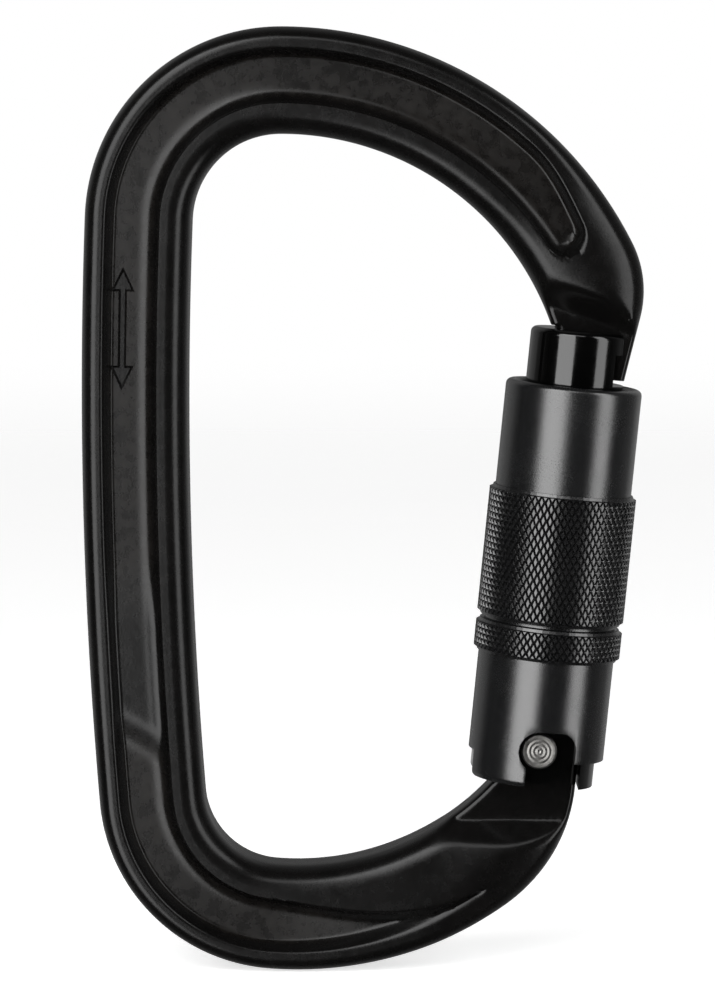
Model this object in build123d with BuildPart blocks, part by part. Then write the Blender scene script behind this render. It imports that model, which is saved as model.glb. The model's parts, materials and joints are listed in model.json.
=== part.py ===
from build123d import *

import os
from math import asin, atan2, cos, degrees, radians, sin, sqrt

# Locking carabiner, millimetres. The body stands upright: +Z up along the spine, +X towards the
# gate, -Y towards the marked face. The origin is the inner top of the basket, where the rope sits.

# Body bar
bar_width = 12.5
bar_thickness = 10.0
edge_round = 1.6
apex_x = -1.8
top_arm_radius = 40.0  # centreline radii
top_corner_radius = 16.75
bottom_corner_radius = 15.5
bottom_arm_radius = 37.5
top_corner_turn = 87.6
spine_turn = 7.0
spine_length = 68.8
bottom_arm_start = 175.3
top_arm_turn = 63.0
nose_corner_radius = 12.5  # outer face
nose_lean = 14.0
bottom_arm_turn = 34.0
tail_radius = 19.5  # outer face

# Weight-saving pocket in both faces
pocket_depth = 2.2
pocket_outer = 3.1  # outside the centreline
pocket_inner = 1.9  # inside the centreline
pocket_top_turn = 58.0
pocket_bottom_turn = 32.0

# Hinge tang and nose blade, milled thinner than the bar
blade_thickness = 4.9
tang_edge = 5.0  # outer edge of the tang from the gate axis
hinge_rise = 4.7  # hinge above the tail's centre
tang_flat = 8.4  # below the hinge
tang_ramp = 3.4
tip_reach = 5.1  # gate tip from the nose corner's centre
tip_drop = 4.6
nose_inset = 2.8  # inner edge of the nose blade from the gate axis
nose_depth = 5.4  # nose blade end below the gate's tip
nose_ramp_start = 2.0  # above the gate's tip
nose_ramp = 4.0
head_lip = 1.25  # T-head beyond each side of the blade
head_height = 2.6
head_reach = 4.2
cam_radius = 4.4
cam_offset = 1.5
tang_head_radius = 4.1

# Gate barrel
barrel_diameter = 11.5
shoulder_step = 1.3
shoulder_top = 8.0
barrel_bottom = 4.4  # below the hinge
tang_slot_top = 5.6
ear_radius = 4.1
ear_start = 1.2  # below the hinge
spot_depth = 5.2  # ear flat from the middle plane
spot_radius = 4.4
slot_clearance = 0.15
groove_clearance = 0.4
relief_clearance = 0.35
nose_play = 0.7
tip_round = 0.7

# Hinge rivet
rivet_diameter = 3.4
rivet_rim = 0.4
rivet_recess = 0.1  # ends inside the sleeve's bore
rivet_clearance = 0.02
rivet_chamfer = 0.2
hinge_clearance = 0.05

# Closing plunger and its spring
plunger_diameter = 4.6
plunger_nose_radius = 2.6
plunger_gap = 0.06
plunger_length = 4.2
stem_diameter = 2.2
stem_length = 5.5
bore_clearance = 0.05
bore_depth = 24.4
gate_spring_wire = 0.6
gate_spring_pitch = 1.5
spring_margin = 0.25

# Locking sleeve
sleeve_wall = 0.9
knurl_height = 0.65
sleeve_drop = 4.3  # lower end below the hinge
sleeve_tip_gap = 6.4  # upper end below the gate's tip
knurl_gap = 19.0  # grip knurl's upper end below the gate's tip
ring_bottom = 10.7  # knurled ring on the skirt
ring_top = 14.5
seam = 0.5
sleeve_bore_clearance = 0.1
mouth_depth = 3.8
mouth_clearance = 1.1
spigot_length = 4.0
spigot_wall = 0.6
fit_gap = 0.02
ledge_thickness = 1.55
end_round = 0.7
knurl_chamfer = 0.3

# Skirt openings
pin_clearance = 0.35
slot_left = 1.4
slot_right = 4.3
slot_arch = 2.5
slot_corner = 2.1
skirt_cut = 1.15  # high cut's edge below the hinge
skirt_cut_rear = 5.7  # across, at the rear
notch_clearance = 0.45  # on each side of the tang
notch_top = 1.1

# Sleeve spring and its stops
washer_thickness = 0.5
washer_play = 0.2
stop_gap = 0.06
sleeve_spring_wire = 0.8
sleeve_spring_turns = 8
ring_thickness = 0.8
ring_width = 1.1
ring_groove = 0.35
ring_split = 3.0
bush_length = 3.6

# Centres of the contour's arcs, each found from the one before along their shared normal
half_bar = bar_width / 2
apex = Vector(apex_x, half_bar)
spine_radius = spine_length / radians(spine_turn)


def outward(turn):
    """Unit vector from an arc's centre to the contour, after a turn from the top towards the spine."""
    return Vector(-sin(radians(turn)), cos(radians(turn)))


top_arm_centre = apex - Vector(0, top_arm_radius)
top_corner_centre = apex - Vector(0, top_corner_radius)
spine_end_turn = top_corner_turn + spine_turn
spine_centre = top_corner_centre + outward(top_corner_turn) * (top_corner_radius - spine_radius)
bottom_corner_centre = spine_centre + outward(spine_end_turn) * (spine_radius - bottom_corner_radius)
bottom_shift = bottom_corner_radius - bottom_arm_radius
bottom_arm_centre = bottom_corner_centre + outward(bottom_arm_start) * bottom_shift
tail_shift = bottom_arm_radius + half_bar - tail_radius
tail_centre = bottom_arm_centre + outward(180 + bottom_arm_turn) * tail_shift
nose_shift = top_arm_radius + half_bar - nose_corner_radius
nose_centre = top_arm_centre + outward(-top_arm_turn) * nose_shift

# Gate axis: through the tip point and past the tail at the tang's distance
gate_tip = nose_centre + Vector(tip_reach, -tip_drop)
tip_from_tail = gate_tip - tail_centre
axis_distance = tail_radius - tang_edge
tip_direction = atan2(tip_from_tail.X, tip_from_tail.Y)
gate_lean = tip_direction - asin(axis_distance / tip_from_tail.length)
axis_along = Vector(sin(gate_lean), cos(gate_lean))
axis_across = Vector(cos(gate_lean), -sin(gate_lean))
hinge = tail_centre + axis_across * axis_distance + axis_along * hinge_rise
gate_length = (gate_tip - hinge).length

hinge_point = (hinge.X, 0, hinge.Y)
across_3d = (axis_across.X, 0, axis_across.Y)
along_3d = (axis_along.X, 0, axis_along.Y)
gate_plane = Plane(origin=hinge_point, x_dir=across_3d, z_dir=along_3d)
gate_side = Plane(origin=hinge_point, x_dir=across_3d, z_dir=(0, -1, 0))
gate_axis = Axis(hinge_point, along_3d)
gate_edge = Plane(origin=hinge_point, x_dir=(0, 1, 0), z_dir=across_3d)


def gate_point(across, along):
    """Point of the body's plane given across and along the gate axis from the hinge."""
    return hinge + axis_across * across + axis_along * along


def in_gate(point):
    """A point of the body's plane as distances across and along the gate axis."""
    offset = point - hinge
    return Vector(offset.dot(axis_across), offset.dot(axis_along))


def contour(distance, top_turn, bottom_turn):
    """Contour a distance outside the centreline, from the top arm round the spine to the bottom arm."""
    start = apex + Vector(0, distance)
    top = JernArc(start, (1, 0), top_arm_radius + distance, -top_turn)
    corner = JernArc(start, (-1, 0), top_corner_radius + distance, top_corner_turn)
    spine = JernArc(corner @ 1, corner % 1, spine_radius + distance, spine_turn)
    bend = JernArc(spine @ 1, spine % 1, bottom_corner_radius + distance, bottom_arm_start - spine_end_turn)
    arm_turn = 180 - bottom_arm_start + bottom_turn
    bottom = JernArc(bend @ 1, bend % 1, bottom_arm_radius + distance, arm_turn)
    return top, bottom


def ring(outer, inner, low, high):
    """Hollow cylinder on the gate axis between two heights from the hinge."""
    with BuildPart(mode=Mode.PRIVATE) as hollow:
        with BuildSketch(gate_plane.offset(low)):
            Circle(outer)
            Circle(inner, mode=Mode.SUBTRACT)
        extrude(amount=high - low)
    return hollow.part


def coil(mean_radius, wire, low, high, pitch):
    """Coil spring on the gate axis between two heights from the hinge."""
    with BuildPart(mode=Mode.PRIVATE) as wound:
        with BuildLine() as line:
            start = gate_plane.offset(low + wire / 2).origin
            path = Helix(pitch, high - low - wire, mean_radius, center=start, direction=along_3d)
        with BuildSketch(Plane(origin=path @ 0, z_dir=path % 0)):
            Circle(wire / 2)
        sweep(path=line.line)
    return wound.part


# Heights on the gate axis, from the hinge
nose_end = gate_length - nose_depth
relief = gate_length + relief_clearance
sleeve_top = gate_length - sleeve_tip_gap
knurl_top = gate_length - knurl_gap
grip_bottom = ring_top + seam
barrel_radius = barrel_diameter / 2
shoulder_radius = barrel_radius + shoulder_step
sleeve_bore = shoulder_radius + sleeve_bore_clearance
sleeve_radius = sleeve_bore + sleeve_wall
knurl_radius = sleeve_radius + knurl_height
socket_radius = sleeve_bore + spigot_wall
ledge_bottom = shoulder_top + stop_gap
ledge_top = ledge_bottom + ledge_thickness
washer_bottom = ledge_top + stop_gap
washer_top = washer_bottom + washer_thickness
bush_top = sleeve_top - mouth_depth - fit_gap
bush_bottom = bush_top - bush_length
stop_ring_top = bush_bottom - stop_gap
stop_ring_bottom = stop_ring_top - ring_thickness

# Where the inner contour meets the gate's relief and runs into the tang's head
inner_top_radius = top_arm_radius - half_bar
top_centre_gate = in_gate(top_arm_centre)
relief_rise = relief - top_centre_gate.Y
relief_across = top_centre_gate.X + sqrt(inner_top_radius**2 - relief_rise**2)
relief_point = gate_point(relief_across, relief)
relief_offset = relief_point - top_arm_centre
inner_top_turn = degrees(atan2(relief_offset.X, relief_offset.Y))
inner_bottom_radius = bottom_arm_radius - half_bar
bottom_centre_gate = in_gate(bottom_arm_centre)
head_sink = -bottom_centre_gate.Y - 0.6 * tang_head_radius
head_across = bottom_centre_gate.X + sqrt(inner_bottom_radius**2 - head_sink**2)
head_offset = gate_point(head_across, -0.6 * tang_head_radius) - bottom_arm_centre
inner_bottom_turn = degrees(atan2(head_offset.X, -head_offset.Y))

# Straight outer edge of the nose, down to the blade's end
nose_turn = 90 + nose_lean - top_arm_turn
nose_edge_start = nose_centre + outward(-90 - nose_lean) * nose_corner_radius
nose_edge_fall = cos(radians(nose_lean) - gate_lean)
nose_edge_length = (in_gate(nose_edge_start).Y - nose_end) / nose_edge_fall

with BuildPart() as body:
    with BuildSketch(Plane.XZ):
        with BuildLine():
            outer_top, outer_bottom = contour(half_bar, top_arm_turn, bottom_arm_turn)
            nose_corner = JernArc(outer_top @ 1, outer_top % 1, nose_corner_radius, -nose_turn)
            nose_edge = PolarLine(nose_corner @ 1, nose_edge_length, direction=nose_corner % 1)
            inner_top, inner_bottom = contour(-half_bar, inner_top_turn, inner_bottom_turn)
            blade_corner = gate_point(-nose_inset, nose_end)
            Polyline(nose_edge @ 1, blade_corner, gate_point(-nose_inset, relief), inner_top @ 1)
            tail_turn = 90 - degrees(gate_lean) - bottom_arm_turn
            tail = JernArc(outer_bottom @ 1, outer_bottom % 1, tail_radius, tail_turn)
            Polyline(tail @ 1, gate_point(tang_edge, 0), gate_point(0, 0), inner_bottom @ 1)
        make_face()
    extrude(amount=bar_thickness / 2, both=True)
    flat_faces = body.faces().filter_by(Axis.Y)
    fillet(flat_faces.edges(), edge_round)
    # Pocket between the two flanges, cut from both faces
    for side in (-1, 1):
        with BuildSketch(Plane.XZ.offset(-side * (bar_thickness / 2 - pocket_depth))):
            with BuildLine():
                pocket_top, pocket_end = contour(pocket_outer, pocket_top_turn, pocket_bottom_turn)
                lower_top, lower_end = contour(-pocket_inner, pocket_top_turn, pocket_bottom_turn)
                TangentArc(pocket_top @ 1, lower_top @ 1, tangent=pocket_top % 1)
                TangentArc(pocket_end @ 1, lower_end @ 1, tangent=pocket_end % 1)
            make_face()
        extrude(amount=-side * bar_thickness, mode=Mode.SUBTRACT)
    # Milled flats and run-outs of the nose blade and of the tang
    half_blade = blade_thickness / 2
    ramp_reach = bar_width
    for side in (-1, 1):
        with BuildSketch(gate_edge):
            with BuildLine():
                Polyline(
                    (side * half_blade, nose_end - 1),
                    (side * half_blade, gate_length + nose_ramp_start),
                    (side * bar_thickness / 2, gate_length + nose_ramp_start + nose_ramp),
                    (side * bar_thickness, nose_end - 1),
                    close=True,
                )
            make_face()
            with BuildLine():
                Polyline(
                    (side * half_blade, tang_slot_top),
                    (side * half_blade, -tang_flat),
                    (side * bar_thickness / 2, -tang_flat - tang_ramp),
                    (side * bar_thickness, tang_slot_top),
                    close=True,
                )
            make_face()
        extrude(amount=ramp_reach, both=True, mode=Mode.SUBTRACT)
    # Rounded head of the tang, with the cam that moves the closing plunger
    with BuildSketch(gate_side):
        Circle(tang_head_radius)
        with Locations((-cam_offset, 0)):
            Circle(cam_radius)
    extrude(amount=half_blade, both=True)
    with BuildSketch(gate_side):
        Circle(rivet_diameter / 2 + hinge_clearance)
    extrude(amount=bar_thickness, both=True, mode=Mode.SUBTRACT)
    # T-head at the end of the nose blade
    with BuildSketch(gate_side):
        with Locations(((head_reach - nose_inset) / 2, nose_end + head_height / 2)):
            Rectangle(head_reach + nose_inset, head_height)
    extrude(amount=half_blade + head_lip, both=True)

half_slot = half_blade + slot_clearance
half_head = half_blade + head_lip
groove_bottom = nose_end - nose_play
groove_top = nose_end + head_height + groove_clearance

with BuildPart() as gate_barrel:
    with BuildSketch(gate_plane.offset(-barrel_bottom)):
        Circle(shoulder_radius)
    extrude(amount=barrel_bottom + shoulder_top)
    with BuildSketch(gate_plane.offset(shoulder_top)):
        Circle(barrel_radius)
    extrude(amount=gate_length - shoulder_top)
    fillet(gate_barrel.faces().sort_by(gate_axis)[-1].edges(), tip_round)
    # Slot for the tang, open inwards and downwards, behind it the heel wall
    with BuildSketch(gate_side):
        with Locations((tang_edge + slot_clearance, tang_slot_top)):
            Rectangle(bar_width * 2, tang_slot_top + bar_width, align=(Align.MAX, Align.MAX))
    extrude(amount=half_slot, both=True, mode=Mode.SUBTRACT)
    # Ears round the rivet, with flat outer faces
    with BuildSketch(gate_side):
        with Locations((tang_edge + slot_clearance, -ear_start)):
            Rectangle(bar_width * 2, bar_width, align=(Align.MAX, Align.MAX))
        Circle(ear_radius, mode=Mode.SUBTRACT)
    extrude(amount=sleeve_radius, both=True, mode=Mode.SUBTRACT)
    for side in (-1, 1):
        with BuildSketch(gate_side.offset(side * spot_depth)):
            Circle(spot_radius)
        extrude(amount=side * shoulder_radius, mode=Mode.SUBTRACT)
    with BuildSketch(gate_side):
        Circle(rivet_diameter / 2 + rivet_clearance)
    extrude(amount=sleeve_radius, both=True, mode=Mode.SUBTRACT)
    # Blind bore for the plunger and its spring
    with BuildSketch(gate_plane.offset(tang_slot_top)):
        Circle(plunger_diameter / 2 + bore_clearance)
    extrude(amount=bore_depth, mode=Mode.SUBTRACT)
    # Slot for the nose blade and groove for its T-head, open outwards
    with BuildSketch(gate_side):
        with Locations((-nose_inset - slot_clearance, groove_bottom)):
            Rectangle(bar_width * 2, bar_width, align=(Align.MIN, Align.MIN))
    extrude(amount=half_slot, both=True, mode=Mode.SUBTRACT)
    with BuildSketch(gate_side):
        with Locations((-nose_inset - slot_clearance, groove_bottom)):
            Rectangle(bar_width * 2, groove_top - groove_bottom, align=(Align.MIN, Align.MIN))
    extrude(amount=half_head + slot_clearance, both=True, mode=Mode.SUBTRACT)
    # Groove for the retaining ring
    with BuildSketch(gate_plane.offset(stop_ring_bottom - fit_gap)):
        Circle(shoulder_radius)
        Circle(barrel_radius - ring_groove, mode=Mode.SUBTRACT)
    extrude(amount=ring_thickness + 2 * fit_gap, mode=Mode.SUBTRACT)

rivet_head_radius = rivet_diameter / 2 + rivet_rim
rivet_end = sqrt(sleeve_bore**2 - rivet_head_radius**2) - rivet_recess

with BuildPart() as hinge_rivet:
    with BuildSketch(gate_side):
        Circle(rivet_diameter / 2)
    extrude(amount=spot_depth, both=True)
    for side in (-1, 1):
        with BuildSketch(gate_side.offset(side * spot_depth)):
            Circle(rivet_head_radius)
        extrude(amount=side * (rivet_end - spot_depth))
        chamfer(hinge_rivet.faces().sort_by(Axis.Y)[-1 if side < 0 else 0].edges(), rivet_chamfer)

# The plunger's round nose rests just clear of the tang's cam
contact_reach = cam_radius + plunger_nose_radius + plunger_gap
plunger_tip = sqrt(contact_reach**2 - cam_offset**2) - plunger_nose_radius
plunger_radius = plunger_diameter / 2
plunger_shelf = plunger_tip + plunger_length
nose_drop = plunger_nose_radius - sqrt(plunger_nose_radius**2 - plunger_radius**2)

with BuildPart() as gate_plunger:
    with BuildSketch(gate_side):
        with BuildLine():
            RadiusArc((0, plunger_tip), (plunger_radius, plunger_tip + nose_drop), -plunger_nose_radius)
            Polyline(
                (plunger_radius, plunger_tip + nose_drop),
                (plunger_radius, plunger_shelf),
                (stem_diameter / 2, plunger_shelf),
                (stem_diameter / 2, plunger_shelf + stem_length),
                (0, plunger_shelf + stem_length),
                (0, plunger_tip),
            )
        make_face()
    revolve(axis=gate_axis)

with BuildPart() as gate_spring:
    spring_radius = plunger_radius - gate_spring_wire / 2 - spring_margin
    spring_low = plunger_shelf + stop_gap
    spring_high = tang_slot_top + bore_depth - stop_gap
    add(coil(spring_radius, gate_spring_wire, spring_low, spring_high, gate_spring_pitch))

with BuildPart() as sleeve_grip:
    with BuildSketch(gate_plane.offset(grip_bottom)):
        Circle(sleeve_radius)
    extrude(amount=sleeve_top - grip_bottom)
    fillet(sleeve_grip.faces().sort_by(gate_axis)[-1].edges(), end_round)
    with BuildPart(mode=Mode.PRIVATE) as grip_band:
        with BuildSketch(gate_plane.offset(grip_bottom)):
            Circle(knurl_radius)
        extrude(amount=knurl_top - grip_bottom)
        chamfer(grip_band.edges().filter_by(GeomType.CIRCLE), knurl_chamfer)
    add(grip_band.part)
    with BuildSketch(gate_plane.offset(grip_bottom)):
        Circle(sleeve_bore)
    extrude(amount=sleeve_top - mouth_depth - grip_bottom, mode=Mode.SUBTRACT)
    with BuildSketch(gate_plane.offset(grip_bottom)):
        Circle(socket_radius)
    extrude(amount=spigot_length, mode=Mode.SUBTRACT)
    with BuildSketch(gate_plane.offset(grip_bottom)):
        Circle(barrel_radius + mouth_clearance)
    extrude(amount=sleeve_top, mode=Mode.SUBTRACT)

with BuildPart() as sleeve_skirt:
    with BuildSketch(gate_plane.offset(-sleeve_drop)):
        Circle(sleeve_radius)
    extrude(amount=sleeve_drop + ring_top)
    with BuildPart(mode=Mode.PRIVATE) as skirt_band:
        with BuildSketch(gate_plane.offset(ring_bottom)):
            Circle(knurl_radius)
        extrude(amount=ring_top - ring_bottom)
        chamfer(skirt_band.edges().filter_by(GeomType.CIRCLE), knurl_chamfer)
    add(skirt_band.part)
    with BuildSketch(gate_plane.offset(ring_top)):
        Circle(socket_radius - fit_gap)
    extrude(amount=seam + spigot_length - fit_gap)
    with BuildSketch(gate_plane.offset(-sleeve_drop)):
        Circle(sleeve_bore)
    extrude(amount=sleeve_top, mode=Mode.SUBTRACT)
    # Inner ledge that rests on the barrel's shoulder and carries the spring
    add(ring(sleeve_bore + fit_gap, barrel_radius + sleeve_bore_clearance, ledge_bottom, ledge_top))
    # Front slot: round pocket for the rivet, arch and exit to the lower end
    with BuildSketch(gate_side.offset(spot_depth)):
        Circle(rivet_head_radius + pin_clearance)
        with Locations((slot_right, slot_arch)):
            Rectangle(slot_right, slot_arch * 2, align=(Align.MAX, Align.MAX))
        fillet(vertices().group_by(Axis.Y)[-1].sort_by(Axis.X)[-1], slot_corner)
        with Locations((slot_right, 0)):
            Rectangle(slot_right + slot_left, bar_width, align=(Align.MAX, Align.MAX))
    extrude(amount=sleeve_radius, mode=Mode.SUBTRACT)
    # High cut round the outer side, further round at the front than at the rear
    for side, edge in ((1, slot_right), (-1, skirt_cut_rear)):
        with BuildSketch(gate_side):
            with Locations((edge, -skirt_cut)):
                Rectangle(bar_width, bar_width, align=(Align.MIN, Align.MAX))
        extrude(amount=side * knurl_radius, mode=Mode.SUBTRACT)
    # Release notch over the tang on the inner side
    with BuildSketch(gate_side):
        with Locations((0, -notch_top)):
            Rectangle(bar_width, bar_width, align=(Align.MAX, Align.MAX))
    extrude(amount=half_blade + notch_clearance, both=True, mode=Mode.SUBTRACT)

with BuildPart() as guide_bush:
    add(ring(sleeve_bore - fit_gap, barrel_radius + sleeve_bore_clearance, bush_bottom, bush_top))

with BuildPart() as spring_washer:
    add(ring(sleeve_bore - washer_play, barrel_radius + washer_play, washer_bottom, washer_top))

with BuildPart() as retaining_ring:
    ring_inner = barrel_radius - ring_groove + fit_gap
    add(ring(barrel_radius + ring_width, ring_inner, stop_ring_bottom, stop_ring_top))
    with BuildSketch(gate_side):
        with Locations((0, stop_ring_bottom)):
            Rectangle(ring_split, bar_width)
    extrude(amount=sleeve_radius, mode=Mode.SUBTRACT)

with BuildPart() as sleeve_spring:
    spring_low = washer_top + stop_gap
    spring_high = stop_ring_bottom - stop_gap
    spring_pitch = (spring_high - spring_low - sleeve_spring_wire) / sleeve_spring_turns
    spring_mean = (barrel_radius + sleeve_bore) / 2
    add(coil(spring_mean, sleeve_spring_wire, spring_low, spring_high, spring_pitch))

pieces = {
    "body": body,
    "gate_barrel": gate_barrel,
    "hinge_rivet": hinge_rivet,
    "gate_plunger": gate_plunger,
    "gate_spring": gate_spring,
    "sleeve_grip": sleeve_grip,
    "sleeve_skirt": sleeve_skirt,
    "guide_bush": guide_bush,
    "spring_washer": spring_washer,
    "retaining_ring": retaining_ring,
    "sleeve_spring": sleeve_spring,
}
os.makedirs("parts", exist_ok=True)
for name, piece in pieces.items():
    piece.part.label = name
    export_step(piece.part, f"parts/{name}.step")

print("gate lean", round(degrees(gate_lean), 3), "length", round(gate_length, 3))
print("hinge", round(hinge.X, 4), round(hinge.Y, 4), "along", round(axis_along.X, 6), round(axis_along.Y, 6))
print("heights", round(nose_end, 3), round(sleeve_top, 3), round(knurl_top, 3), round(plunger_tip, 3))
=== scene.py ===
import json
from math import atan2, ceil, cos, degrees, pi, radians, sin, sqrt

import bmesh
import bpy
from mathutils import Matrix, Vector
from mathutils.kdtree import KDTree


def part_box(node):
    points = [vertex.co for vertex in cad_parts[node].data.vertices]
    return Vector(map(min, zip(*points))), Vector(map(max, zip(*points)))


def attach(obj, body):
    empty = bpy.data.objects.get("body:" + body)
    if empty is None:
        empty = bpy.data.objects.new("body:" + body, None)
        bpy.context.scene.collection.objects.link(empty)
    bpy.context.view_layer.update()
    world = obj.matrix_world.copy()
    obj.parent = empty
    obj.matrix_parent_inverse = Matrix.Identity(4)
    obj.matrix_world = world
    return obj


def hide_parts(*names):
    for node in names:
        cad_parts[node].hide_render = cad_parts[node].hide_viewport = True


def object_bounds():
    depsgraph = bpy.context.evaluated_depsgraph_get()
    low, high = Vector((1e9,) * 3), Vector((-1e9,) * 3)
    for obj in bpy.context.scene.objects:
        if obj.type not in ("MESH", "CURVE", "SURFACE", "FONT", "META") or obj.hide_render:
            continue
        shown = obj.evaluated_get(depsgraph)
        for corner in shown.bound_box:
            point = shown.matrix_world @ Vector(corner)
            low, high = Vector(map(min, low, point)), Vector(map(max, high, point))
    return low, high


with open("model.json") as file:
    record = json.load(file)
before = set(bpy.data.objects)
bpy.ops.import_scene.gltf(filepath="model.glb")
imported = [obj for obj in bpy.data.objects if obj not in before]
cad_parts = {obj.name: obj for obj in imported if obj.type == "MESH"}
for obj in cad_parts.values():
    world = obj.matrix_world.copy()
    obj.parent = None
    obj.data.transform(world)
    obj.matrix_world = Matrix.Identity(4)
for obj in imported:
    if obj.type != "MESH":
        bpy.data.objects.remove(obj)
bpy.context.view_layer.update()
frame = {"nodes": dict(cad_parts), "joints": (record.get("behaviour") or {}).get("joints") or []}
print("frame loaded", len(frame["nodes"]), "nodes")

millimetre = 0.001
swing = next(j for j in frame["joints"] if j["name"] == "gate_swing")
turnJoint = next(j for j in frame["joints"] if j["name"] == "sleeve_turn")
hinge = Vector(swing["pos_m"]) / millimetre
along = -Vector(turnJoint["axis"]).normalized()
across = Vector((along.z, 0, -along.x))

# local gate axes: x across and outwards, y through the gate, z from hinge to nose
gateMatrix = Matrix((across, (0, 1, 0), along)).transposed().to_4x4()
gateMatrix.translation = hinge


def gatePoint(u, w):
    return hinge + across * u + along * w


def topHeight(node):
    # height above the hinge of the upper end of a node that is round about the gate's axis
    spots = (Vector(v.co) / millimetre - hinge for v in frame["nodes"][node].data.vertices)
    return max(spot.dot(along) for spot in spots)


def meshFrom(bm, name, matrix=None):
    bm.transform(Matrix.Scale(millimetre, 4) @ (matrix or Matrix.Identity(4)))
    mesh = bpy.data.meshes.new(name)
    bm.to_mesh(mesh)
    bm.free()
    obj = bpy.data.objects.new(name, mesh)
    bpy.context.scene.collection.objects.link(obj)
    mesh.shade_smooth()
    return obj


def modifier(obj, kind, **settings):
    mod = obj.modifiers.new(kind.title(), kind)
    for key, value in settings.items():
        setattr(mod, key, value)
    return mod


def applyAll(obj):
    bpy.context.view_layer.update()
    graph = bpy.context.evaluated_depsgraph_get()
    done = bpy.data.meshes.new_from_object(obj.evaluated_get(graph))
    obj.modifiers.clear()
    old = obj.data
    obj.data = done
    bpy.data.meshes.remove(old)


def cut(obj, tools, operation="DIFFERENCE"):
    for tool in tools:
        modifier(obj, "BOOLEAN", operation=operation, object=tool, solver="EXACT")
    applyAll(obj)
    for tool in tools:
        bpy.data.objects.remove(tool)


def lathe(profile, segments, closed=True):
    # profile is (radius, height) points: a closed ring off the axis, or a line from axis to axis
    bm = bmesh.new()
    verts = [bm.verts.new((r, 0, z)) for r, z in profile]
    edges = [bm.edges.new((verts[i - 1], verts[i])) for i in range(0 if closed else 1, len(verts))]
    turn = {"cent": (0, 0, 0), "axis": (0, 0, 1), "angle": 2 * pi, "steps": segments}
    bmesh.ops.spin(bm, geom=verts + edges, use_merge=True, **turn)
    bmesh.ops.remove_doubles(bm, verts=bm.verts, dist=1e-4)
    bmesh.ops.recalc_face_normals(bm, faces=bm.faces)
    return bm


def cornerArc(centre, radius, start, end, steps=5):
    # points of an arc from one angle to another, in degrees from the radial direction
    angles = [radians(start + (end - start) * i / steps) for i in range(steps + 1)]
    return [(centre[0] + radius * cos(a), centre[1] + radius * sin(a)) for a in angles]


def prism(outline, low, high):
    # outline in (x, z), extruded through y from low to high
    bm = bmesh.new()
    face = bm.faces.new([bm.verts.new((x, low, z)) for x, z in outline])
    grown = bmesh.ops.extrude_face_region(bm, geom=[face])
    top = [g for g in grown["geom"] if isinstance(g, bmesh.types.BMVert)]
    bmesh.ops.translate(bm, verts=top, vec=(0, high - low, 0))
    bmesh.ops.recalc_face_normals(bm, faces=bm.faces)
    return bm


bodyShape = {
    "halfBar": 6.25,
    "apexX": -1.8,
    "topArm": 40.0,
    "topCorner": 16.75,
    "bottomCorner": 15.5,
    "bottomArm": 37.5,
    "cornerTurn": 87.6,
    "spineTurn": 7.0,
    "spineLength": 68.8,
    "armStart": 175.3,
    "armTurn": 34.0,
    "topTurn": 63.0,
    "noseCorner": 12.5,
    "noseLean": 14.0,
    "tail": 19.5,
    "tangEdge": 5.0,
    "noseInset": 2.8,
    "relief": 0.35,  # between the barrel's end and the nose
    "reliefFall": 0.25,
    "tipTurn": -80.0,  # turns given to the nose's sections, which aren't on an arc
    "reliefTurn": -75.0,
    "tangInner": -3.2,
    "tangTurn": 231.5,  # where the tang's inner edge leaves the arm
    "tangLength": 4.6,
    "tangTwist": 10.0,
    "step": 0.5,  # distance between sections
    "merge": 0.05,  # sections closer than this are one
    "halfThick": 5.0,
    "outerRound": (1.65, 2.7),  # across and through
    "innerRound": (2.6, 3.1),
    "columns": 50,
    "sharp": 42.0,
    "roundSteps": (8, 9),
    "rimShare": (0.55, 0.5),  # height of the point between the mid-line and the round
}
pocketShape = {
    "topTurn": -60.4,
    "bottomTurn": 212.5,
    "outerEdge": 2.35,
    "innerEdge": 8.95,
    "outerWall": 1.25,
    "innerWall": 3.1,
    "innerCurve": 4.0,  # how steeply the inner wall's cove rises to the flange
    "innerRoll": 0.45,
    "depth": 2.15,
    "taperLength": 26.0,
    "tipHalf": 0.7,  # the tapered end: half width, and place of its outer edge
    "tipEdge": 2.6,
    "noseLength": 12.0,  # the pocket also narrows towards the nose
    "noseHalf": 2.5,
    "noseEdge": 4.0,
    "fadeFrom": -49.0,  # heights between which the floor rises on the spine
    "fadeTo": -58.0,
    "stepOuter": -69.0,  # heights of the step back down, at the pocket's two edges
    "stepInner": -73.2,
    "fadeShare": 0.42,
    "fadeEdge": 1.2,  # share of the pocket's width where the fade ends
    "fadeRun": 0.5,
    "stepRun": 5.2,
    "capWall": 0.9,  # how much wider the outer wall is round the pocket's ends
    "tipShare": 0.5,  # depth lost at the tapered end
}
bladeShape = {
    "half": 2.45,
    "noseEnd": 44.05,
    "coveLow": 50.4,  # the cove that thins the nose, on the gate's axis
    "coveHigh": 55.9,
    "coveFall": 0.27,
    "tangFlat": -8.3,
    "tangFall": 0.1,
    "tangRamp": 0.8,
    "edgeRound": 0.7,
    "blend": 0.6,
    "coveRise": 0.4,  # how far past the faces the cove runs
    "coveFrom": (20.0, -9.0),  # the cove is above this height, outward of this line
    "tangFrom": (6.0, -12.0),
    "coveSlope": 6.0,
    "noLimit": 9.0,
    "maskWidth": 0.4,
    "maskReach": 0.2,  # new points further than this from the uncut body have no mask
}
crownShape = {"inner": 0.2, "outer": 0.4, "nose": 30.0, "noseEnd": 17.0, "tail": 26.0, "tailEnd": 12.0}
headShape = {"inner": -2.79, "reach": 4.2, "half": 3.7, "height": 2.6, "bevel": 0.3}
tangShape = {
    "head": 4.1,
    "cam": 4.4,
    "camOffset": -1.5,
    "camSink": 0.01,  # keeps the two faces from lying in one plane
    "hole": 1.75,
    "half": 2.44,
    "sides": 72,
}
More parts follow.
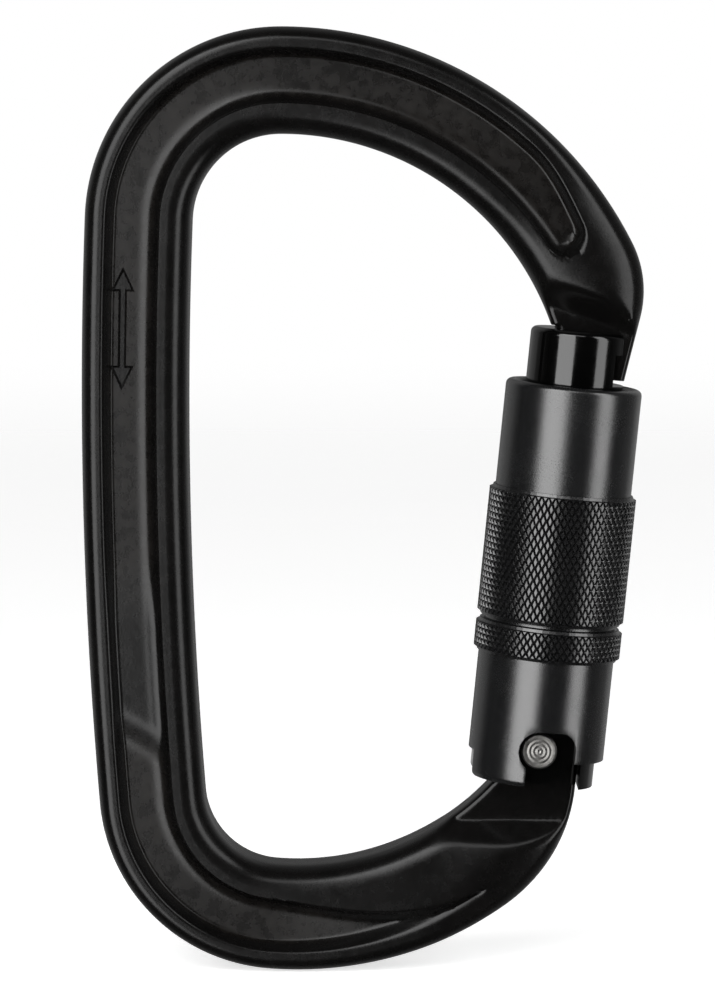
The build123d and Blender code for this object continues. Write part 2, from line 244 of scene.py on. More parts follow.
markShape = {
    "height": -22.7,
    "distance": 4.75,
    "length": 14.5,
    "head": 2.9,
    "width": 2.8,
    "shaft": 1.0,
    "depth": 0.3,
    "wall": 0.27,
    "above": 1.0,  # how far the cutter stands out of the web
}


def smooth(t):
    t = min(max(t, 0.0), 1.0)
    return t * t * (3 - 2 * t)


def softMin(a, b, k):
    h = min(max(0.5 + 0.5 * (b - a) / k, 0.0), 1.0)
    return b + (a - b) * h - k * h * (1 - h)


def outward(turn):
    return Vector((-sin(radians(turn)), 0, cos(radians(turn))))


def bodyStations(shape):
    # (outer edge point, inner edge point, turn in degrees) from the nose's end round to the tang
    half = shape["halfBar"]
    apex = Vector((shape["apexX"], 0, half))
    spine = shape["spineLength"] / radians(shape["spineTurn"])
    spineEnd = shape["cornerTurn"] + shape["spineTurn"]
    topCentre = apex - Vector((0, 0, shape["topArm"]))
    corner = apex - Vector((0, 0, shape["topCorner"]))
    spineCentre = corner + outward(shape["cornerTurn"]) * (shape["topCorner"] - spine)
    bend = spineCentre + outward(spineEnd) * (spine - shape["bottomCorner"])
    arm = bend + outward(shape["armStart"]) * (shape["bottomCorner"] - shape["bottomArm"])
    tail = arm + outward(180 + shape["armTurn"]) * (shape["bottomArm"] + half - shape["tail"])
    nose = topCentre + outward(-shape["topTurn"]) * (shape["topArm"] + half - shape["noseCorner"])
    leanTurn = degrees(atan2(along.x, along.z))

    def arc(centre, radius, start, end, count):
        return [centre + outward(start + (end - start) * i / count) * radius for i in range(count + 1)]

    def line(a, b, count):
        return [a.lerp(b, i / count) for i in range(count + 1)]

    rows = []

    def add(outer, inner, turns):
        for i, (a, b) in enumerate(zip(outer, inner)):
            if rows and (rows[-1][0] - a).length + (rows[-1][1] - b).length < shape["merge"]:
                continue
            share = i / (len(outer) - 1)
            rows.append((a, b, turns[0] + (turns[1] - turns[0]) * share))

    def steps(length):
        return max(2, ceil(length / shape["step"]))

    inset = shape["noseInset"]
    noseTurn = -90 - shape["noseLean"]
    cornerEnd = nose + outward(noseTurn) * shape["noseCorner"]
    fall = Vector((-sin(radians(shape["noseLean"])), 0, -cos(radians(shape["noseLean"]))))
    drop = ((cornerEnd - hinge).dot(along) - bladeShape["noseEnd"]) / -fall.dot(along)
    bladeTip = cornerEnd + fall * drop
    innerRadius = shape["topArm"] - half
    relief = topHeight("gate_barrel") + shape["relief"]
    rise = relief - (topCentre - hinge).dot(along)
    reliefAcross = (topCentre - hinge).dot(across) + sqrt(innerRadius**2 - rise**2)
    reliefPoint = gatePoint(reliefAcross, relief)
    reliefTurn = -degrees(atan2(reliefPoint.x - topCentre.x, reliefPoint.z - topCentre.z))
    count = steps(drop)
    low = line(gatePoint(-inset, bladeShape["noseEnd"]), gatePoint(-inset, relief), count)
    low[-1] = gatePoint(-inset - shape["reliefFall"], relief)
    add(line(bladeTip, cornerEnd, count), low, (shape["tipTurn"], shape["reliefTurn"]))
    count = steps(radians(90 + shape["noseLean"] - shape["topTurn"]) * shape["noseCorner"])
    corners = arc(nose, shape["noseCorner"], noseTurn, -shape["topTurn"], count)
    inside = arc(topCentre, innerRadius, reliefTurn, -shape["topTurn"], count)
    add(corners, inside, (shape["reliefTurn"], -shape["topTurn"]))

    def band(centre, radius, start, end):
        n = steps(radians(abs(end - start)) * radius)
        outer = arc(centre, radius + half, start, end, n)
        add(outer, arc(centre, radius - half, start, end, n), (start, end))

    band(topCentre, shape["topArm"], -shape["topTurn"], 0)
    band(corner, shape["topCorner"], 0, shape["cornerTurn"])
    band(spineCentre, spine, shape["cornerTurn"], spineEnd)
    band(bend, shape["bottomCorner"], spineEnd, shape["armStart"])
    armEnd = 180 + shape["armTurn"]
    band(arm, shape["bottomArm"], shape["armStart"], armEnd)
    tailEnd = 270 - leanTurn
    count = steps(radians(tailEnd - armEnd) * shape["tail"])
    inside = arc(arm, shape["bottomArm"] - half, armEnd, shape["tangTurn"], count)
    add(arc(tail, shape["tail"], armEnd, tailEnd, count), inside, (armEnd, tailEnd))
    count = steps(shape["tangLength"])
    outerLine = line(tail + outward(tailEnd) * shape["tail"], gatePoint(shape["tangEdge"], 0), count)
    innerLine = line(inside[-1], gatePoint(shape["tangInner"], 0), count)
    add(outerLine, innerLine, (tailEnd, tailEnd + shape["tangTwist"]))
    return rows


def sectionColumns(width, shape):
    # (distance from the outer edge, half thickness) from the outer mid-line to the inner mid-line
    (ox, oy), (ix, iy) = shape["outerRound"], shape["innerRound"]
    top = shape["halfThick"]
    squeeze = min(1.0, width / (2 * shape["halfBar"]))
    ox, ix = ox * squeeze, ix * squeeze
    (outerSteps, innerSteps), (outerRim, innerRim) = shape["roundSteps"], shape["rimShare"]
    points = [(0, 0), (0, (top - oy) * outerRim)]
    turns = [radians(90 * i / outerSteps) for i in range(outerSteps)]
    points += [(ox * (1 - cos(a)), top - oy + oy * sin(a)) for a in turns]
    count = shape["columns"]
    points += [(ox + (width - ox - ix) * i / count, top) for i in range(count + 1)]
    turns = [radians(90 * i / innerSteps) for i in range(1, innerSteps + 1)]
    points += [(width - ix + ix * sin(a), top - iy + iy * cos(a)) for a in turns]
    points += [(width, (top - iy) * innerRim), (width, 0)]
    return points


def pocketDepth(distance, travel, height, ends, shape):
    # depth of the pocket at a place on the section, from its distance inside the pocket's outline
    start, end = ends
    taper = smooth((travel - (end - shape["taperLength"])) / shape["taperLength"])
    nose = smooth((start + shape["noseLength"] - travel) / shape["noseLength"])
    fullWidth = shape["innerEdge"] - shape["outerEdge"]
    fullHalf = fullWidth / 2
    fullEdge = shape["outerEdge"]
    half = fullHalf + (shape["tipHalf"] - fullHalf) * taper + (shape["noseHalf"] - fullHalf) * nose
    edge = fullEdge + (shape["tipEdge"] - fullEdge) * taper + (shape["noseEdge"] - fullEdge) * nose
    middle = edge + half
    cap = max(0.0, start + half - travel, travel - (end - half))
    reach = sqrt((distance - middle) ** 2 + cap**2) + 1e-6
    inside = half - reach
    innerShare = smooth(0.5 + 0.5 * (distance - middle) / reach)
    wall = shape["outerWall"] * (1 + taper + shape["capWall"] * smooth(cap / half))
    outerWall = smooth(inside / wall)
    cove = min(max(inside / shape["innerWall"], 0.0), 1.0)
    innerWall = (1 - (1 - cove) ** shape["innerCurve"]) * smooth(inside / shape["innerRoll"])
    rise = outerWall + (innerWall - outerWall) * innerShare
    share = (distance - fullEdge) / fullWidth
    stepHeight = shape["stepOuter"] + (shape["stepInner"] - shape["stepOuter"]) * min(max(share, 0), 1)
    fade = smooth((shape["fadeFrom"] - height) / (shape["fadeFrom"] - shape["fadeTo"]))
    fade *= smooth((height - stepHeight) / shape["stepRun"] + 0.5)
    fade *= smooth((shape["fadeEdge"] - share) / shape["fadeRun"])
    return shape["depth"] * rise * (1 - shape["tipShare"] * taper) * (1 - shape["fadeShare"] * fade)


def crownAt(distance, whole):
    # how much of the faces' crown there is: all of it at both ends of the bar and none along the spine
    crown = crownShape
    nose = smooth((crown["nose"] - distance) / (crown["nose"] - crown["noseEnd"]))
    tail = smooth((distance - whole + crown["tail"]) / (crown["tail"] - crown["tailEnd"]))
    return max(nose, tail)


def bladeLimit(point, edge):
    # half thickness left by milling at the nose and at the tang, or far more where nothing is milled
    blade = bladeShape
    w = (point - hinge).dot(along)
    u = (point - hinge).dot(across)
    limit = blade["noLimit"]
    coveHeight, coveLine = blade["coveFrom"]
    tangHeight, tangLine = blade["tangFrom"]
    if w > coveHeight and u > coveLine:
        rise = (w + blade["coveFall"] * u - blade["coveLow"]) / (blade["coveHigh"] - blade["coveLow"])
        full = bodyShape["halfThick"] + blade["coveRise"]
        limit = blade["half"] + (full - blade["half"]) * smooth(rise)
        limit += max(0.0, rise - 1) * blade["coveSlope"]
    elif w < tangHeight and u > tangLine:
        rise = blade["tangFlat"] - blade["tangFall"] * (bodyShape["tangEdge"] - u) - w
        limit = blade["half"] + max(0.0, rise * blade["tangRamp"])
    reach = blade["edgeRound"]
    if edge < reach:
        limit -= reach - sqrt(max(0.0, reach**2 - (reach - edge) ** 2))
    return limit


def roundBar(radius, half, sides, u):
    # a cylinder across the gate, centred on the hinge's axis or beside it
    bm = bmesh.new()
    ends = {"radius1": radius, "radius2": radius, "depth": 2 * half}
    bmesh.ops.create_cone(bm, cap_ends=True, segments=sides, **ends)
    bmesh.ops.rotate(bm, verts=bm.verts, cent=(0, 0, 0), matrix=Matrix.Rotation(radians(90), 3, "X"))
    bmesh.ops.translate(bm, verts=bm.verts, vec=(u, 0, 0))
    return meshFrom(bm, "barTool", gateMatrix)


def noseHead():
    head = headShape
    bm = bmesh.new()
    bmesh.ops.create_cube(bm, size=1)
    size = (head["reach"] - head["inner"], 2 * head["half"], head["height"])
    bmesh.ops.scale(bm, verts=bm.verts, vec=size)
    middle = ((head["reach"] + head["inner"]) / 2, 0, bladeShape["noseEnd"] + head["height"] / 2)
    bmesh.ops.translate(bm, verts=bm.verts, vec=middle)
    rim = {"offset": head["bevel"], "segments": 3, "profile": 0.5, "affect": "EDGES", "material": -1}
    bmesh.ops.bevel(bm, geom=bm.edges[:], **rim)
    return meshFrom(bm, "headTool", gateMatrix)


def arrowMark(rows):
    # plain double-ended arrow sunk in the web, along the spine
    mark = markShape
    spine = [r for r in rows if r[2] >= bodyShape["cornerTurn"]]
    outer, inner, _ = min(spine, key=lambda r: abs(r[0].z - mark["height"]))
    way = (inner - outer).normalized()
    centre = outer + way * mark["distance"]
    half, wing, stem = mark["length"] / 2, mark["width"] / 2, mark["shaft"] / 2
    neck = half - mark["head"]
    quarter = [(wing, neck), (stem, neck)]
    outline = [(0, half)] + quarter + [(x, -z) for x, z in reversed(quarter)]
    outline += [(0, -half)] + [(-x, -z) for x, z in quarter] + [(-x, z) for x, z in reversed(quarter)]
    floor = bodyShape["halfThick"] - pocketShape["depth"]
    turn = Matrix((way, (0, 1, 0), (-way.z, 0, way.x))).transposed().to_4x4()
    turn.translation = centre
    bm = prism(outline, -floor - mark["above"], -floor + mark["depth"])
    deep = [e for e in bm.edges if all(v.co.y > -floor for v in e.verts)]
    slope = {"offset": mark["wall"], "segments": 1, "profile": 0.5, "affect": "EDGES", "material": -1}
    bmesh.ops.bevel(bm, geom=deep, **slope)
    return meshFrom(bm, "markTool", turn)


def carryMasks(obj, source):
    # the cuts' new points take the masks of the nearest point of the uncut body
    tree = KDTree(len(source.vertices))
    for i, vert in enumerate(source.vertices):
        tree.insert(vert.co, i)
    tree.balance()
    found = [tree.find(vert.co)[1:] for vert in obj.data.vertices]
    near = bladeShape["maskReach"] * millimetre
    for name in ("web", "milled"):
        values = source.attributes[name].data
        masks = [values[i].value if away < near else 0.0 for i, away in found]
        if name in obj.data.attributes:
            obj.data.attributes.remove(obj.data.attributes[name])
        obj.data.attributes.new(name, "FLOAT", "POINT")
        obj.data.attributes[name].data.foreach_set("value", masks)


def makeBody():
    shape = bodyShape
    rows = bodyStations(shape)
    travel = [0.0]
    for (a, b, _), (c, d, _) in zip(rows, rows[1:]):
        travel.append(travel[-1] + ((c + d) / 2 - (a + b) / 2).length)
    start = next(t for t, r in zip(travel, rows) if r[2] >= pocketShape["topTurn"])
    end = next(t for t, r in zip(travel, rows) if r[2] >= pocketShape["bottomTurn"])
    bm = bmesh.new()
    web = bm.verts.layers.float.new("web")
    milled = bm.verts.layers.float.new("milled")

    def place(ring, row, distance):
        outer, inner, _ = row
        way = (inner - outer).normalized()
        width = (inner - outer).length
        columns = sectionColumns(width, shape)
        crown = crownAt(distance, travel[-1])
        heights, floors, mills = [], [], []
        for d, y in columns:
            point = outer + way * d
            depth = pocketDepth(d, distance, point.z, (start, end), pocketShape)
            level = y - depth if y == shape["halfThick"] else y
            side = 2 * d / width - 1
            level *= 1 - crown * crownShape["inner" if side > 0 else "outer"] * side**2
            limit = bladeLimit(point, min(d, width - d))
            heights.append(softMin(level, limit, bladeShape["blend"]))
            floors.append(depth / pocketShape["depth"])
            mills.append(smooth((level - limit) / bladeShape["maskWidth"] + 0.5))
        count = len(columns)
        for i, vert in enumerate(ring):
            back = i >= count
            k = i if not back else 2 * count - 2 - i
            d = columns[k][0]
            spot = outer + way * d
            vert.co = (spot.x, heights[k] * (1 if back else -1), spot.z)
            vert[web] = floors[k]
            vert[milled] = mills[k]

    count = len(sectionColumns(2 * shape["halfBar"], shape))
    ringSize = 2 * count - 2
    ring = [bm.verts.new((i, 0, 0)) for i in range(ringSize)]
    edges = [bm.edges.new((ring[i - 1], ring[i])) for i in range(ringSize)]
    place(ring, rows[0], travel[0])
    bm.faces.new(ring)
    for row, distance in zip(rows[1:], travel[1:]):
        grown = bmesh.ops.extrude_edge_only(bm, edges=edges)
        fresh = {v for v in grown["geom"] if isinstance(v, bmesh.types.BMVert)}
        following = {}
        for edge in [e for f in grown["geom"] if isinstance(f, bmesh.types.BMFace) for e in f.edges]:
            a, b = edge.verts
            if (a in fresh) != (b in fresh):
                following[b if a in fresh else a] = a if a in fresh else b
        ring = [following[v] for v in ring]
        joined = {frozenset(e.verts): e for v in ring for e in v.link_edges}
        edges = [joined[frozenset((ring[i - 1], ring[i]))] for i in range(ringSize)]
        place(ring, row, distance)
    bm.faces.new(ring)
    bmesh.ops.recalc_face_normals(bm, faces=bm.faces)
    forged = meshFrom(bm, "forgedBody")
    uncut = forged.data.copy()
    t = tangShape
    boss = roundBar(t["head"], t["half"], t["sides"], 0)
    cam = roundBar(t["cam"], t["half"] - t["camSink"], t["sides"], t["camOffset"])
    cut(forged, [noseHead(), boss, cam], "UNION")
    cut(forged, [roundBar(t["hole"], shape["halfThick"], t["sides"], 0), arrowMark(rows)])
    carryMasks(forged, uncut)
    bpy.data.meshes.remove(uncut)
    forged.data.shade_smooth()
    forged.data.set_sharp_from_angle(angle=radians(shape["sharp"]))
    return forged


body = makeBody()
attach(body, "frame")
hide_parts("body")
print("body made", len(body.data.polygons), "faces")

sleeveShape = {
    "radius": 8.05,
    "knurl": 8.7,
    "bore": 7.15,
    "topRound": 0.7,
    "lip": (0.35, 0.02),  # the mouth's lip, across and down
    "lipFoot": (0.06, 0.2),
    "underCut": 0.05,
    "joint": (0.35, 0.12, 0.02),  # groove between the two sleeve parts: depth, chamfer, gap
    "footRound": 0.8,
    "mouthRadius": 6.85,
    "mouthDepth": 3.8,
    "dish": 0.35,
    "gripBottom": 15.0,
    "knurlTop": 30.45,
    "ringBottom": 10.7,
    "ringTop": 14.5,
    "skirtBottom": -4.3,
    "segments": 144,
    "sideRows": 8,
}
knurlShape = {
    "around": 66,
    "rise": 1.4,
    "gap": 0.22,  # from a diamond's edge to its flat top
    "height": 0.3,
    "chamfer": 0.32,
    "fall": 0.12,  # how much the chamfer draws the band's ends in
    "sink": 0.1,  # how far its ends run into the sleeve
}
skirtCuts = {
    "pin": 2.45,  # radius of the slot's end, round the rivet
    "pinArc": (100, 236, 9),  # degrees of the slot's round end: from, to, step
    "left": 1.4,  # the slot's sides, from the rivet's axis
    "right": 4.3,
    "arch": 2.5,
    "archRound": 2.1,
    "high": 1.15,  # how far below the rivet's axis the cut-away side ends
    "rear": 5.7,
    "notch": 2.9,  # half width of the lock's release notch
    "notchTop": 1.1,
    "rearRound": 0.9,
    "bevel": 0.14,
    "beyond": 12.0,  # the cutters end this far from the axis
    "below": -8.0,
    "inside": 3.0,
    "overlap": 0.01,
}


def makeGrip():
    s = sleeveShape
    top = topHeight("sleeve_grip")
    r, mouth = s["radius"], s["mouthRadius"]
    profile = [(s["bore"], s["gripBottom"]), (r, s["gripBottom"])]
    profile += [(r, s["knurlTop"] + s["underCut"]), (r, (s["knurlTop"] + top) / 2)]
    profile += cornerArc((r - s["topRound"], top - s["topRound"]), s["topRound"], 0, 90, 6)
    (lipWidth, lipFall), (footWidth, footFall) = s["lip"], s["lipFoot"]
    profile += [(mouth + lipWidth, top - lipFall), (mouth + footWidth, top - s["dish"])]
    profile += [(mouth, top - s["dish"] - footFall)]
    profile += [(mouth, top - s["mouthDepth"]), (s["bore"], top - s["mouthDepth"])]
    return meshFrom(lathe(profile, s["segments"]), "sleeveGrip", gateMatrix)


def makeKnurl(name, low, high):
    k = knurlShape
    base = sleeveShape["knurl"] - k["height"]
    usable = high - low - 2 * k["chamfer"]
    rows = max(2, round(usable / (k["rise"] / 2)))
    rise = usable / rows
    bm = bmesh.new()
    first = bmesh.ops.create_circle(bm, cap_ends=False, radius=base, segments=k["around"])["verts"]
    bmesh.ops.translate(bm, verts=first, vec=(0, 0, low + k["chamfer"]))
    edges = bottom = list({e for v in first for e in v.link_edges})
    turn = Matrix.Rotation(pi / k["around"], 3, "Z")
    for _ in range(rows):
        grown = bmesh.ops.extrude_edge_only(bm, edges=edges)["geom"]
        verts = [g for g in grown if isinstance(g, bmesh.types.BMVert)]
        fresh = set(verts)
        bmesh.ops.rotate(bm, verts=verts, cent=(0, 0, 0), matrix=turn)
        bmesh.ops.translate(bm, verts=verts, vec=(0, 0, rise))
        edges = [g for g in grown if isinstance(g, bmesh.types.BMEdge) and set(g.verts) <= fresh]
    bmesh.ops.triangulate(bm, faces=bm.faces, quad_method="SHORT_EDGE")
    border = set(bottom) | set(edges)
    flat = rise / 10
    level = [e for e in bm.edges if e not in border and abs(e.verts[0].co.z - e.verts[1].co.z) < flat]
    bmesh.ops.dissolve_edges(bm, edges=level, use_verts=False)
    diamonds = list(bm.faces)
    border = [e for e in bm.edges if e.is_boundary]
    for height in (low, high):
        ends = [e for e in border if abs(e.verts[0].co.z - height) < (high - low) / 2]
        for radius in (base - k["fall"], sleeveShape["radius"] - k["sink"]):
            grown = bmesh.ops.extrude_edge_only(bm, edges=ends)["geom"]
            fresh = {g for g in grown if isinstance(g, bmesh.types.BMVert)}
            for v in fresh:
                spot = Vector((v.co.x, v.co.y, 0)).normalized() * radius
                v.co = (spot.x, spot.y, height)
            ends = [g for g in grown if isinstance(g, bmesh.types.BMEdge) and set(g.verts) <= fresh]
    bmesh.ops.bridge_loops(bm, edges=[e for e in bm.edges if e.is_boundary])
    bmesh.ops.recalc_face_normals(bm, faces=bm.faces)
    diamonds = [f for f in diamonds if f.is_valid]
    bmesh.ops.inset_individual(bm, faces=diamonds, thickness=k["gap"], depth=k["height"])
    obj = meshFrom(bm, name, gateMatrix)
    obj.data.shade_flat()
    return obj


def makeSkirt():
    s, c = sleeveShape, skirtCuts
    r, bore, low = s["radius"], s["bore"], s["skirtBottom"]
    foot, (groove, slope, gap) = s["footRound"], s["joint"]
    profile = [(bore, low), (r - foot, low)]
    profile += cornerArc((r - foot, low + foot), foot, -90, 0, 6)[1:]
    rows = s["sideRows"]
    profile += [(r, low + (s["ringBottom"] - low) * i / rows) for i in range(1, rows + 1)]
    profile += [(r, s["ringTop"]), (r - groove, s["ringTop"] + slope)]
    profile += [(r - groove, s["gripBottom"] - gap), (bore, s["gripBottom"] - gap)]
    skirt = meshFrom(lathe(profile, s["segments"]), "sleeveSkirt")
    far, under, near, high = c["beyond"], c["below"], c["inside"], -c["high"]
    circle = [(c["pin"] * cos(a), c["pin"] * sin(a)) for a in map(radians, range(*c["pinArc"]))]
    curve = c["archRound"]
    slot = [(-c["left"], under), (c["right"], under), (c["right"], c["arch"] - curve)]
    slot += cornerArc((c["right"] - curve, c["arch"] - curve), curve, 0, 90, 6)[1:] + circle
    curve = c["rearRound"]
    rear = [(c["rear"] - curve, under), (c["rear"] - curve, low)]
    rear += cornerArc((c["rear"] - curve, low + curve), curve, -90, 0, 6)[1:]
    rear += [(c["rear"], high), (far, high), (far, under)]
    step = [(c["right"], under), (far, under), (far, high), (c["right"] - c["overlap"], high)]
    notch = [(-far, under), (-near, under), (-near, -c["notchTop"]), (-far, -c["notchTop"])]
    tools = [
        meshFrom(prism(slot, -far, -near), "slotTool"),
        meshFrom(prism(step, -far, 0), "highTool"),
        meshFrom(prism(rear, -c["overlap"], far), "rearTool"),
        meshFrom(prism(notch, -c["notch"], c["notch"]), "notchTool"),
    ]
    cut(skirt, tools)
    width = c["bevel"] * millimetre
    modifier(skirt, "BEVEL", width=width, segments=2, limit_method="ANGLE", angle_limit=radians(50))
    applyAll(skirt)
    inMetres = gateMatrix.copy()
    inMetres.translation = gateMatrix.translation * millimetre
    skirt.data.transform(inMetres)
    skirt.data.shade_smooth()
    return skirt


rivetShape = {
    "head": 2.1,
    "shank": 1.7,
    "shelf": 5.2,
    "chamfer": 0.2,
    "dimple": 0.12,
    "ringStep": 0.24,  # turning marks on the ends
    "ringDepth": 0.035,
    "rings": 7,
    "segments": 64,
    "sharp": 14.0,
}


def makeRivet():
    r = rivetShape
    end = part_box("hinge_rivet")[1][1] / millimetre
    face = [(0, end - r["dimple"])]
    face += [(r["ringStep"] * (i + 1), end - r["ringDepth"] * (i % 2)) for i in range(r["rings"])]
    face += [(r["head"] - r["chamfer"], end), (r["head"], end - r["chamfer"])]
    face += [(r["head"], r["shelf"]), (r["shank"], r["shelf"])]
    profile = face + [(x, -z) for x, z in reversed(face)]
    bm = lathe(profile, r["segments"], closed=False)
    bmesh.ops.rotate(bm, verts=bm.verts, cent=(0, 0, 0), matrix=Matrix.Rotation(radians(90), 3, "X"))
    rivet = meshFrom(bm, "turnedRivet", gateMatrix)
    rivet.data.set_sharp_from_angle(angle=radians(r["sharp"]))
    return rivet


rivet = makeRivet()
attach(rivet, "gate")
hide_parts("hinge_rivet")
grip = makeGrip()
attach(grip, "sleeve")
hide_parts("sleeve_grip")
gripKnurl = makeKnurl("gripKnurl", sleeveShape["gripBottom"], sleeveShape["knurlTop"])
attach(gripKnurl, "sleeve")
skirt = makeSkirt()
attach(skirt, "sleeve")
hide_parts("sleeve_skirt")
skirtKnurl = makeKnurl("skirtKnurl", sleeveShape["ringBottom"], sleeveShape["ringTop"])
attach(skirtKnurl, "sleeve")
print("sleeve made", len(gripKnurl.data.polygons), len(skirt.data.polygons), "faces")


class Wire:
    # a node socket that adds Math nodes when it is used in an expression
    def __init__(self, tree, socket):
        self.tree = tree
        self.socket = socket

    def maths(self, operation, first, second=None):
        node = self.tree.nodes.new("ShaderNodeMath")
        node.operation = operation
        for slot, value in zip(node.inputs, (first, second)):
            feed(self.tree, slot, value)
        return Wire(self.tree, node.outputs[0])

    def __add__(self, other):
        return self.maths("ADD", self, other)

    def __sub__(self, other):
        return self.maths("SUBTRACT", self, other)

    def __mul__(self, other):
        return self.maths("MULTIPLY", self, other)

    def __rsub__(self, other):
        return self.maths("SUBTRACT", other, self)

    __radd__ = __add__
    __rmul__ = __mul__


def feed(tree, slot, value):
    if isinstance(value, Wire):
        tree.links.new(value.socket, slot)
    elif value is not None:
        slot.default_value = value


class Finish:
    # one material: a Principled shader and the nodes that feed it
    def __init__(self, name):
        self.material = bpy.data.materials.new(name)
        self.material.use_nodes = True
        self.tree = self.material.node_tree
        self.shader = self.tree.nodes["Principled BSDF"]
        self.place = self.add("ShaderNodeTexCoord", {}, {}, "Object")

    def add(self, kind, settings, values, output=0):
        node = self.tree.nodes.new(kind)
        for key, value in settings.items():
            setattr(node, key, value)
        for key, value in values.items():
            feed(self.tree, node.inputs[key], value)
        return Wire(self.tree, node.outputs[output])

    def mask(self, name):
        return self.add("ShaderNodeAttribute", {"attribute_name": name}, {}, "Fac")

    def noise(self, scale, detail, roughness):
        values = {"Vector": self.place, "Scale": scale, "Detail": detail, "Roughness": roughness}
        return self.add("ShaderNodeTexNoise", {}, values)

    def ramp(self, value, low, high):
        values = {"Value": value, "From Min": low, "From Max": high}
        return self.add("ShaderNodeMapRange", {"interpolation_type": "SMOOTHSTEP"}, values)

    def blend(self, share, first, second):
        node = self.tree.nodes.new("ShaderNodeMix")
        node.data_type = "RGBA"
        feed(self.tree, node.inputs[0], share)
        feed(self.tree, node.inputs[6], first if isinstance(first, Wire) else (*first, 1))
        feed(self.tree, node.inputs[7], second if isinstance(second, Wire) else (*second, 1))
        return Wire(self.tree, node.outputs[2])

    def bump(self, height, depth, strength):
        # depth in millimetres
        values = {"Height": height, "Distance": depth * millimetre, "Strength": strength}
        return self.add("ShaderNodeBump", {}, values)

    def shade(self, **values):
        for key, value in values.items():
            feed(self.tree, self.shader.inputs[key.replace("_", " ")], value)
        return self.material


bodyLook = {
    "cloud": (170, 5, 0.65),  # noises: scale, detail, roughness
    "speck": (900, 3, 0.6),
    "grain": (4200, 2, 0.5),
    "floor": (0.55, 0.98),  # share of the pocket's depth where the web's own colour comes in
    "cloudShare": 0.6,
    "speckShare": 0.4,
    "rim": ((0.0022, 0.0021, 0.002), (0.0034, 0.0031, 0.003)),
    "web": ((0.0026, 0.0023, 0.0021), (0.0074, 0.0064, 0.0056)),
    "roughness": 0.235,
    "speckRough": 0.05,
    "webRough": 0.06,
    "milledRough": 0.07,
    "specular": 0.24,
    "relief": 0.016,
}


def bodyFinish():
    look = bodyLook
    f = Finish("mattAnodisedForging")
    web = f.mask("web")
    cloud, speck, grain = (f.noise(*look[name]) for name in ("cloud", "speck", "grain"))
    milled = f.mask("milled")
    floor = f.ramp(web, *look["floor"])
    patch = f.ramp(cloud, 0.34, 0.7) * look["cloudShare"] + f.ramp(speck, 0.38, 0.66) * look["speckShare"]
    rim = f.blend(f.ramp(cloud, 0.35, 0.7), *look["rim"])
    bed = f.blend(patch, *look["web"])
    colour = f.blend(floor, rim, bed)
    rough = look["roughness"] + f.ramp(speck, 0.3, 0.7) * look["speckRough"]
    rough = rough + patch * floor * look["webRough"] - milled * look["milledRough"]
    normal = f.bump(grain * 0.5 + speck * 0.6, look["relief"], 0.85)
    return f.shade(Base_Color=colour, Roughness=rough, Normal=normal, Specular_IOR_Level=look["specular"])


def sleeveFinish(name, tone, roughness, grainHeight):
    f = Finish(name)
    grain = f.noise(6500, 3, 0.6)
    speck = f.noise(1700, 2, 0.5)
    cloud = f.noise(140, 2, 0.5)
    colour = f.blend(f.ramp(speck, 0.35, 0.65), tone, tuple(1.35 * c for c in tone))
    rough = roughness + f.ramp(cloud, 0.3, 0.7) * 0.05 + f.ramp(grain, 0.3, 0.7) * 0.06
    normal = f.bump(grain, grainHeight, 0.9)
    return f.shade(Base_Color=colour, Roughness=rough, Normal=normal, Metallic=0.0, Specular_IOR_Level=0.82)


def barrelFinish():
    f = Finish("glossBlackBarrel")
    grain = f.noise(1500, 3, 0.6)
    normal = f.bump(grain, 0.008, 0.6)
    rough = 0.09 + f.ramp(f.noise(300, 2, 0.5), 0.3, 0.7) * 0.05
    return f.shade(Base_Color=(0.0008, 0.0008, 0.0008, 1), Roughness=rough, Normal=normal)


def steelFinish(name, tone, roughness):
    f = Finish(name)
    grain = f.noise(2200, 3, 0.6)
    colour = f.blend(f.ramp(grain, 0.3, 0.7), tuple(0.8 * c for c in tone), tone)
    rough = roughness + f.ramp(grain, 0.3, 0.7) * 0.1
    return f.shade(Base_Color=colour, Roughness=rough, Metallic=1.0, Normal=f.bump(grain, 0.004, 0.6))


def plasticFinish(name, tone):
    f = Finish(name)
    grain = f.noise(1800, 3, 0.5)
    rough = 0.42 + f.ramp(grain, 0.3, 0.7) * 0.12
    colour = f.blend(grain, tone, tuple(1.3 * c for c in tone))
    return f.shade(Base_Color=colour, Roughness=rough, Normal=f.bump(grain, 0.008, 0.6))


def dress(obj, material):
    obj.data.materials.clear()
    obj.data.materials.append(material)


dress(body, bodyFinish())
sleeveMaterial = sleeveFinish("satinSleeve", (0.0042, 0.0043, 0.0045), 0.185, 0.012)
knurlMaterial = sleeveFinish("satinKnurl", (0.0035, 0.0035, 0.0037), 0.2, 0.005)
for piece in (grip, skirt):
    dress(piece, sleeveMaterial)
for piece in (gripKnurl, skirtKnurl):
    dress(piece, knurlMaterial)
steel = steelFinish("turnedSteel", (0.24, 0.235, 0.225), 0.34)
dress(rivet, steel)
wireSteel = steelFinish("springWire", (0.4, 0.4, 0.41), 0.3)
acetal = plasticFinish("blackAcetal", (0.03, 0.03, 0.03))
nodeFinish = {
    "gate_barrel": barrelFinish(),
    "spring_washer": steel,
    "retaining_ring": wireSteel,
    "gate_spring": wireSteel,
    "sleeve_spring": wireSteel,
    "gate_plunger": acetal,
    "guide_bush": acetal,
}
for node, material in nodeFinish.items():
    frame["nodes"][node].data.materials.clear()
    frame["nodes"][node].data.materials.append(material)
print("materials made")

